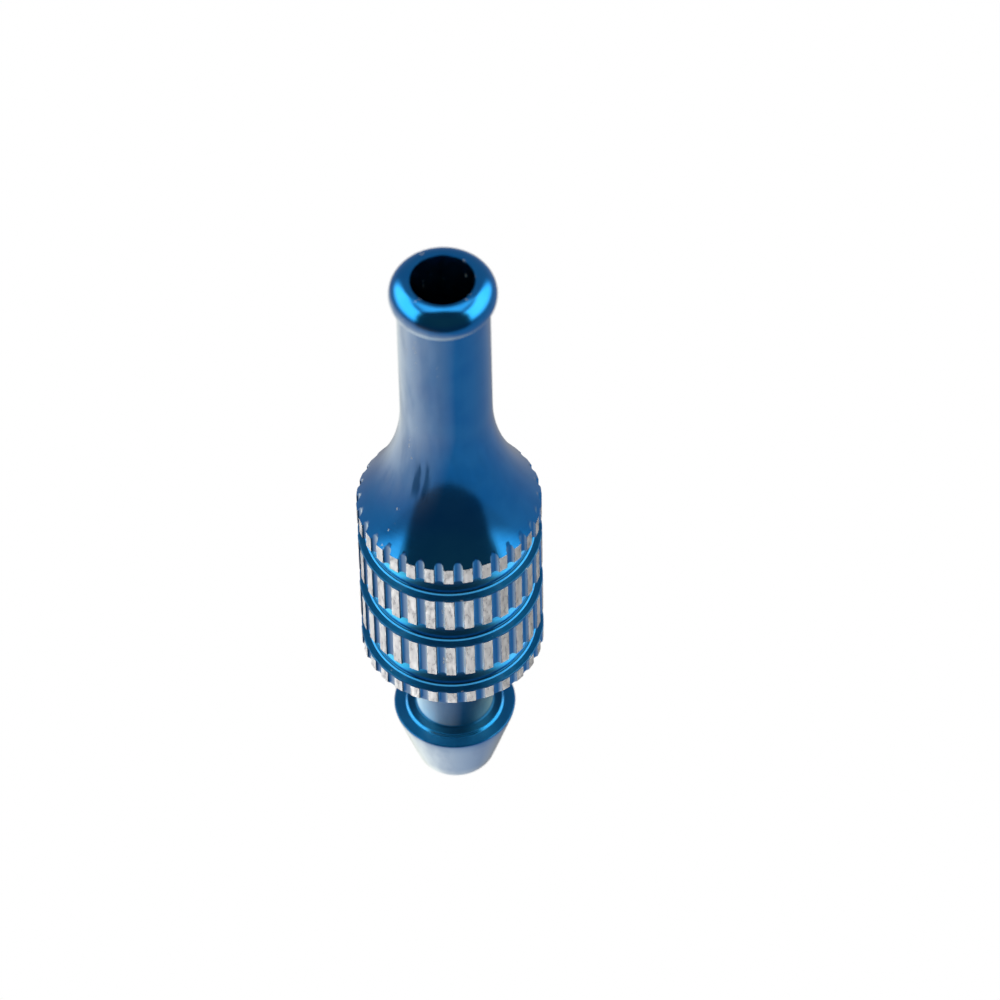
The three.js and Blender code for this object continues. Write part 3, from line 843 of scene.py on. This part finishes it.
def plug_paint(mesh, looks):
    """The material number of each face, from its place on the plug."""
    centres = face_centres(mesh)
    radius = np.hypot(centres[:, 0], centres[:, 1])
    height = centres[:, 2]
    on_neck = (height > STEP_TOP + TAIL_NECK_FILLET / 2) & (height < COLLAR_BOTTOM - FILLET / 2)
    on_back = (radius > BARB_BACK_R) & (np.abs(height - BARB_BACK_Z) < CORNER)
    beside_neck = (height > STEP_TOP - CORNER) & (height < COLLAR_BOTTOM) & ~on_neck
    # Painted shade in the corners beside the neck.
    shaded_corners = beside_neck & (radius > TAIL_NECK_R) & (radius < BARB_BACK_R - BARB_STEP)
    paint = np.full(len(height), looks.index(BLUE), dtype=np.int32)
    paint[on_neck] = looks.index(BLUE_DULL_PAINTED_LIGHT)
    paint[radius < TAIL_BORE_R + CORNER] = looks.index(BLUE_INSIDE)
    # The barb's back gets the satin blue with painted shade.
    paint[on_back] = looks.index(BLUE_SATIN_PAINTED_SHADE)
    paint[shaded_corners] = looks.index(BLUE_PAINTED_SHADE)
    return paint


def make_plug():
    angles = even_angles(192)
    thread = thread_rows(THREAD_MEAN_R, PLUG_THREAD_BOTTOM, PLUG_THREAD_BOTTOM + THREAD_LENGTH,
                         angles, THREAD_PITCH / 14)
    top = [(SHANK_R, PLUG_TOP - PLUG_CHAMFER), (SHANK_R - PLUG_CHAMFER, PLUG_TOP),
           (TAIL_BORE_R + PLUG_CHAMFER, PLUG_TOP)]
    bore = [(TAIL_BORE_R, z) for z in np.linspace(PLUG_TOP - PLUG_CHAMFER, TAIL_BORE_BOTTOM, 6)]
    foot = [(TAIL_BORE_R + PLUG_CHAMFER, 0.0)]
    rows = plug_outline() + thread + top + bore + foot
    radii = np.array([np.broadcast_to(r, angles.shape) for r, _ in rows])
    heights = np.array([np.broadcast_to(z, angles.shape) for _, z in rows])
    mesh = grid_mesh("tail_plug_turned", radii, heights, angles)
    holes = [((side * SPANNER_HOLE_RING_R, 0, COLLAR_BOTTOM), (0, 0, 1)) for side in (-1, 1)]
    mesh = cut(mesh, rods(holes, SPANNER_HOLE_R, 2 * SPANNER_HOLE_DEPTH, 32))
    looks = [BLUE, BLUE_DULL_PAINTED_LIGHT, BLUE_INSIDE, BLUE_SATIN_PAINTED_SHADE, BLUE_PAINTED_SHADE]
    finish_mesh("plug", mesh, "plug", "tail_plug", looks)
    mesh.polygons.foreach_set("material_index", plug_paint(mesh, looks))


# ---------------------------------------------------------------- seals

def make_o_ring():
    """Moulded ring, with the fine line where the two halves of the mould met."""
    low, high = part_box("plug_o_ring")
    middle = (low.z + high.z) / 2
    profile = []
    for angle in np.linspace(0, TURN, 48, endpoint=False):
        flash = O_RING_FLASH * math.exp(-(math.sin(angle) / O_RING_FLASH_WIDTH) ** 2)
        radius = O_RING_WIRE_R + flash
        profile.append((O_RING_R + radius * math.cos(angle), middle + radius * math.sin(angle)))
    finish_mesh("o_ring", lathe("o_ring", profile, 160), "plug", "plug_o_ring", [RUBBER], 60)


def make_gasket():
    """Punched fibre washer, with slightly uneven edges."""
    low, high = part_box("seat_gasket")
    profile = ring_profile(GASKET_INNER_R, high.y, low.z, high.z, THIN_CORNER)
    angles = even_angles(160)
    uneven = GASKET_WAVE * (0.6 * np.sin(7 * angles) + 0.4 * np.sin(17 * angles + 1.0))
    middle_r = (GASKET_INNER_R + high.y) / 2
    radii = np.array([r - GASKET_WAVE * np.sign(r - middle_r) + uneven for r, _ in profile])
    heights = np.array([[z] * len(angles) for _, z in profile])
    mesh = grid_mesh("gasket", radii, heights, angles)
    finish_mesh("gasket", mesh, "cartridge", "seat_gasket", [FIBRE])


# ---------------------------------------------------------------- the cartridge

def make_collar():
    low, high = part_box("cartridge_collar")
    floor = low.z + RECESS_DEPTH
    profile = broken([(TAIL_BORE_R, low.z), (CARTRIDGE_R, low.z), (CARTRIDGE_R, high.z),
                      (RECESS_R, high.z), (RECESS_R, floor), (TAIL_BORE_R, floor)], CORNER, True)
    finish_mesh("collar", lathe("collar", profile), "cartridge", "cartridge_collar", [BRASS])


def make_cap():
    low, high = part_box("cartridge_cap")
    top = high.z - SPIGOT_HEIGHT
    roof = low.z + RECESS_DEPTH
    profile = broken([(0, roof), (RECESS_R, roof), (RECESS_R, low.z), (CARTRIDGE_R, low.z),
                      (CARTRIDGE_R, top), (SPIGOT_R, top), (SPIGOT_R, high.z - SPIGOT_CHAMFER),
                      (SPIGOT_R - SPIGOT_CHAMFER, high.z), (0, high.z)], CORNER, False)
    finish_mesh("cap", lathe_from_axis("cap", profile), "cartridge", "cartridge_cap", [BRASS])


def make_core():
    """Thin tube with staggered rows of drilled holes."""
    low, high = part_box("cartridge_core")
    tube = lathe("core", ring_profile(CORE_R - CORE_WALL, CORE_R, low.z, high.z, CORE_CORNER), 144)
    middle_r = CORE_R - CORE_WALL / 2
    collar_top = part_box("cartridge_collar")[1].z
    row_step = (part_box("cartridge_cap")[0].z - collar_top) / CORE_HOLE_ROWS
    holes = []
    for row in range(CORE_HOLE_ROWS):
        for column in range(CORE_HOLE_COLUMNS):
            angle = (column + 0.5 * (row % 2)) * TURN / CORE_HOLE_COLUMNS
            outward = (math.sin(angle), math.cos(angle), 0)
            place = (middle_r * outward[0], middle_r * outward[1], collar_top + (row + 0.5) * row_step)
            holes.append((place, outward))
    mesh = cut(tube, rods(holes, CORE_HOLE_R, 3 * CORE_WALL, 36))
    finish_mesh("core", mesh, "cartridge", "cartridge_core", [BRASS])


def make_screen(name, node, outer_r, uprights, rings):
    """Plain-woven wire cloth: each upright passes in front of one ring and behind the next."""
    low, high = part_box(node)
    lift = SCREEN_WALL / 2 - SCREEN_WIRE_R
    middle_r = outer_r - SCREEN_WALL / 2
    pitch = (high.z - low.z) / rings
    half_wave = 5       # points from one crossing to the next
    paths = []
    heights = np.linspace(low.z, high.z, rings * half_wave + 1)
    for k in range(uprights):
        radius = middle_r + (-1) ** k * lift * np.cos(math.pi * ((heights - low.z) / pitch - 0.5))
        angle = k * TURN / uprights
        paths.append((np.stack([radius * math.sin(angle), radius * math.cos(angle), heights], axis=1), False))
    angles = even_angles(uprights * half_wave)
    for k in range(rings):
        radius = middle_r - (-1) ** k * lift * np.cos(angles * uprights / 2)
        height = np.full_like(angles, low.z + (k + 0.5) * pitch)
        paths.append((np.stack([radius * np.sin(angles), radius * np.cos(angles), height], axis=1), True))
    mesh = wires(name, paths, SCREEN_WIRE_R, 8)
    finish_mesh(name, mesh, "cartridge", node, [STEEL], 60)


# ---------------------------------------------------------------- the spring

def make_spring():
    """Compression spring with closed and ground ends, between the barrel and the cartridge."""
    low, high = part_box("cartridge_spring")
    turns = np.linspace(0, SPRING_TURNS + 2 * SPRING_DEAD_TURNS, 280)
    dead_height = SPRING_WIRE_R + SPRING_DEAD_PITCH * SPRING_DEAD_TURNS
    last = SPRING_DEAD_TURNS + SPRING_TURNS
    knots = [0, SPRING_DEAD_TURNS, last, last + SPRING_DEAD_TURNS]
    levels = [low.z + SPRING_GROUND, low.z + dead_height, high.z - dead_height, high.z - SPRING_GROUND]
    height = np.interp(turns, knots, levels)
    path = np.stack([SPRING_R * np.cos(turns * TURN), SPRING_R * np.sin(turns * TURN), height], axis=1)
    mesh = wires("spring", [(path, False)], SPRING_WIRE_R, 20)
    for vertex in mesh.vertices:
        vertex.co.z = min(max(vertex.co.z, low.z), high.z)
    spring = finish_mesh("spring", mesh, None, "cartridge_spring", [STEEL], 50)
    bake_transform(spring)


def make_washer():
    low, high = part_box("spring_washer")
    profile = ring_profile(BORE_R, high.y, low.z, high.z, THIN_CORNER)
    finish_mesh("washer", lathe("washer", profile), "body", "spring_washer", [STEEL])


make_barrel()
make_plug()
make_o_ring()
make_gasket()
make_collar()
make_core()
make_screen("coarse_cloth", "coarse_screen", COARSE_SCREEN_R, 30, 8)
make_screen("fine_cloth", "fine_screen", FINE_SCREEN_R, 44, 11)
make_cap()
make_spring()
make_washer()

# ---------------------------------------------------------------- the studio

FLOOR_Z = -4.1 * MM                # leaves room for the plug to screw out
FLOOR_FRONT = 90 * MM
FLOOR_REACH = 900 * MM             # to the sides and the back
FLOOR_MIRRORED = (0.30, 0.36)      # how bright the floor's two shades look in a reflection
SHADE_Y = 9 * MM                   # middle of the shadow painted into the floor's reflections, behind the filter
SHADE_EDGES = (5 * MM, 12 * MM)
SHADE = 0.3
FOOT_GLOW = (3.0, 1.4)             # scattered light at the filter's foot, from the left to the right
FOOT_SIDES = (-8 * MM, 8 * MM)
FOOT_EDGES = (8 * MM, 24 * MM)
FLOOR_GLOW = (0.05, 0.5)           # scattered light away from the foot, in front and behind
FLOOR_GLOW_BACK = 60 * MM

WINDOW = 0.065                     # brightness of the dark opening in front
WINDOW_TILT = math.radians(9)      # the opening reaches this far past the zenith
WINDOW_EDGE = (0.62, 0.76)         # cosines of the angle from the opening's middle
WINDOW_RAGGED = 0.16               # how far noise moves this edge
BACK_EDGE = (-0.75, -0.5)          # the same cosines for the calm back
HORIZON_EDGE = (-0.05, 0.04)       # heights on the unit sphere
LOW_SIDES = (0.0, 0.35)            # the sides are half as bright at the first height as at the second
TOP_EDGE = (0.80, 0.90)            # the sides end here
STRIP = 0.55                       # brightness of the strip that is left across the top
STRIP_EDGE = (0.25, 0.5)
STRIP_FOOT = (0.84, 0.90)
SIDE_LIGHT = 1.85
SIDE_TINT = (1.3, 1.35, 1.0, 1)    # the bright sides wash the blue towards cyan
BACK_LIGHT = 0.25
TENT_GLOW = (0.05, 0.3)            # scattered light from the tent's front and back

KEY_POWER = 0.048
KEY_PLACE = Vector((-50 * MM, -70 * MM, 4 * MM))
KEY_AIM = Vector((0, 0, 22 * MM))
KEY_SIZE = (90 * MM, 30 * MM)


def by_ray(tree, mirrored, soft):
    """One strength for reflections and another for scattered light. The camera sees plain white."""
    path = put(tree, "ShaderNodeLightPath").outputs
    strength = mix_value(tree, path["Is Diffuse Ray"], mirrored, soft)
    return mix_value(tree, path["Is Camera Ray"], strength, 1.0)


def floor_material():
    """White paper, brightest round the filter's foot and to its left. It is clear from below."""
    material, tree = new_material("floor_paper")
    position = put(tree, "ShaderNodeTexCoord").outputs["Object"]
    x, y, _ = axes(tree, position)
    paper = ramp(tree, noise(tree, position, 60.0, 4.0), 0.3, 0.7, *FLOOR_MIRRORED, "LINEAR")
    # Painted shadow: the floor looks darker in reflections behind the filter.
    from_shade = length_2d(tree, x, math_node(tree, "SUBTRACT", y, SHADE_Y))
    mirrored = product(tree, paper, ramp(tree, from_shade, *SHADE_EDGES, SHADE, 1.0))
    near = ramp(tree, length_2d(tree, x, y), *FOOT_EDGES, 1.0, 0.0)
    soft = mix_value(tree, near, ramp(tree, y, 0.0, FLOOR_GLOW_BACK, *FLOOR_GLOW),
                     ramp(tree, x, *FOOT_SIDES, *FOOT_GLOW))
    light = emission(tree, (1, 1, 1, 1), by_ray(tree, mirrored, soft))
    below = put(tree, "ShaderNodeNewGeometry").outputs["Backfacing"]
    clear = put(tree, "ShaderNodeBsdfTransparent").outputs[0]
    output(tree, mix_shader(tree, below, light, clear))
    return material


def make_floor():
    mesh = bpy.data.meshes.new("floor")
    corners = [(-FLOOR_REACH, -FLOOR_FRONT, 0), (FLOOR_REACH, -FLOOR_FRONT, 0),
               (FLOOR_REACH, FLOOR_REACH, 0), (-FLOOR_REACH, FLOOR_REACH, 0)]
    mesh.from_pydata(corners, [], [(0, 1, 2, 3)])
    floor = bpy.data.objects.new("floor", mesh)
    floor.location.z = FLOOR_Z
    bpy.context.scene.collection.objects.link(floor)
    mesh.materials.append(floor_material())


def make_world():
    """A white tent: bright sides and top, a calm back, and a dark opening in front for the camera."""
    world = bpy.data.worlds.new("studio")
    bpy.context.scene.world = world
    world.use_nodes = True
    tree = world.node_tree
    tree.nodes.clear()
    direction = put(tree, "ShaderNodeTexCoord").outputs["Generated"]
    x, y, z = axes(tree, direction)
    forward = math_node(tree, "ADD", product(tree, y, -math.cos(WINDOW_TILT)),
                        product(tree, z, math.sin(WINDOW_TILT)))
    toward_front = math_node(tree, "DIVIDE", forward, length_2d(tree, x, forward))
    ragged = product(tree, noise(tree, direction, 3.0, 2.0), WINDOW_RAGGED)
    opening = ramp(tree, math_node(tree, "ADD", toward_front, ragged), *WINDOW_EDGE)
    sides = product(tree, ramp(tree, toward_front, *BACK_EDGE), ramp(tree, z, *HORIZON_EDGE),
                    ramp(tree, z, *LOW_SIDES, 0.5, 1.0), ramp(tree, z, *TOP_EDGE, 1.0, 0.0))
    strip = product(tree, ramp(tree, math_node(tree, "ABSOLUTE", x), *STRIP_EDGE, STRIP, 0.0),
                    ramp(tree, z, *STRIP_FOOT))
    lit = math_node(tree, "MAXIMUM", sides, strip)
    tent = ramp(tree, lit, 0.0, 1.0, BACK_LIGHT, SIDE_LIGHT, "LINEAR")
    strength = by_ray(tree, mix_value(tree, opening, tent, WINDOW), ramp(tree, y, 0.0, 0.9, *TENT_GLOW))
    tint_share = product(tree, lit, put(tree, "ShaderNodeLightPath").outputs["Is Glossy Ray"])
    color = mix_color(tree, tint_share, (1, 1, 1, 1), SIDE_TINT)
    background = put(tree, "ShaderNodeBackground", {"Color": color, "Strength": strength})
    put(tree, "ShaderNodeOutputWorld", {"Surface": background.outputs[0]})


def make_key():
    """A broad soft lamp, low in front and to the left. It shows in scattered light only."""
    data = bpy.data.lights.new("key", "AREA")
    data.shape = "RECTANGLE"
    data.size, data.size_y = KEY_SIZE
    data.energy = KEY_POWER
    key = bpy.data.objects.new("key", data)
    key.location = KEY_PLACE
    key.rotation_euler = (KEY_AIM - KEY_PLACE).to_track_quat("-Z", "Y").to_euler()
    key.visible_camera = False
    key.visible_glossy = False
    bpy.context.scene.collection.objects.link(key)


CAMERA_AZIMUTH = math.radians(1.1)
CAMERA_ELEVATION = math.radians(50.98)
CAMERA_ROLL = math.radians(-1.25)
CAMERA_LENS = 288.0
CAMERA_SENSOR = 36.0
CAMERA_DEPTH = 86.315 * BARREL_R      # from the lens to the upper groove's top edge
OFF_AXIS_RIGHT = -0.5467 * BARREL_R   # where the filter's axis crosses that plane
OFF_AXIS_UP = -0.1301 * BARREL_R
FOCUS_F_STOP = 58.0
FOCUS_HEIGHT = 16 * MM


def make_camera():
    data = bpy.data.cameras.new("camera")
    data.lens = CAMERA_LENS
    data.sensor_width = CAMERA_SENSOR
    data.clip_start = 0.01
    data.clip_end = 10.0
    camera = bpy.data.objects.new("camera", data)
    bpy.context.scene.collection.objects.link(camera)
    level = math.cos(CAMERA_ELEVATION)
    back = Vector((math.sin(CAMERA_AZIMUTH) * level, -math.cos(CAMERA_AZIMUTH) * level,
                   math.sin(CAMERA_ELEVATION)))
    level_right = Vector((math.cos(CAMERA_AZIMUTH), math.sin(CAMERA_AZIMUTH), 0.0))
    level_up = back.cross(level_right)
    right = level_right * math.cos(CAMERA_ROLL) + level_up * math.sin(CAMERA_ROLL)
    up = back.cross(right)
    seen = Vector((0, 0, GROOVES[2][1]))
    camera.location = seen - right * OFF_AXIS_RIGHT - up * OFF_AXIS_UP + back * CAMERA_DEPTH
    matrix = camera.matrix_world.to_3x3()
    matrix.col[0], matrix.col[1], matrix.col[2] = right, up, back
    camera.rotation_mode = "QUATERNION"
    camera.rotation_quaternion = matrix.to_quaternion()
    focus = bpy.data.objects.new("focus_point", None)
    focus.location = (0, -BARREL_R, FOCUS_HEIGHT)
    bpy.context.scene.collection.objects.link(focus)
    data.dof.use_dof = True
    data.dof.focus_object = focus
    data.dof.aperture_fstop = FOCUS_F_STOP
    bpy.context.scene.camera = camera


make_floor()
make_world()
make_key()
make_camera()
bpy.context.scene.view_settings.view_transform = "Standard"
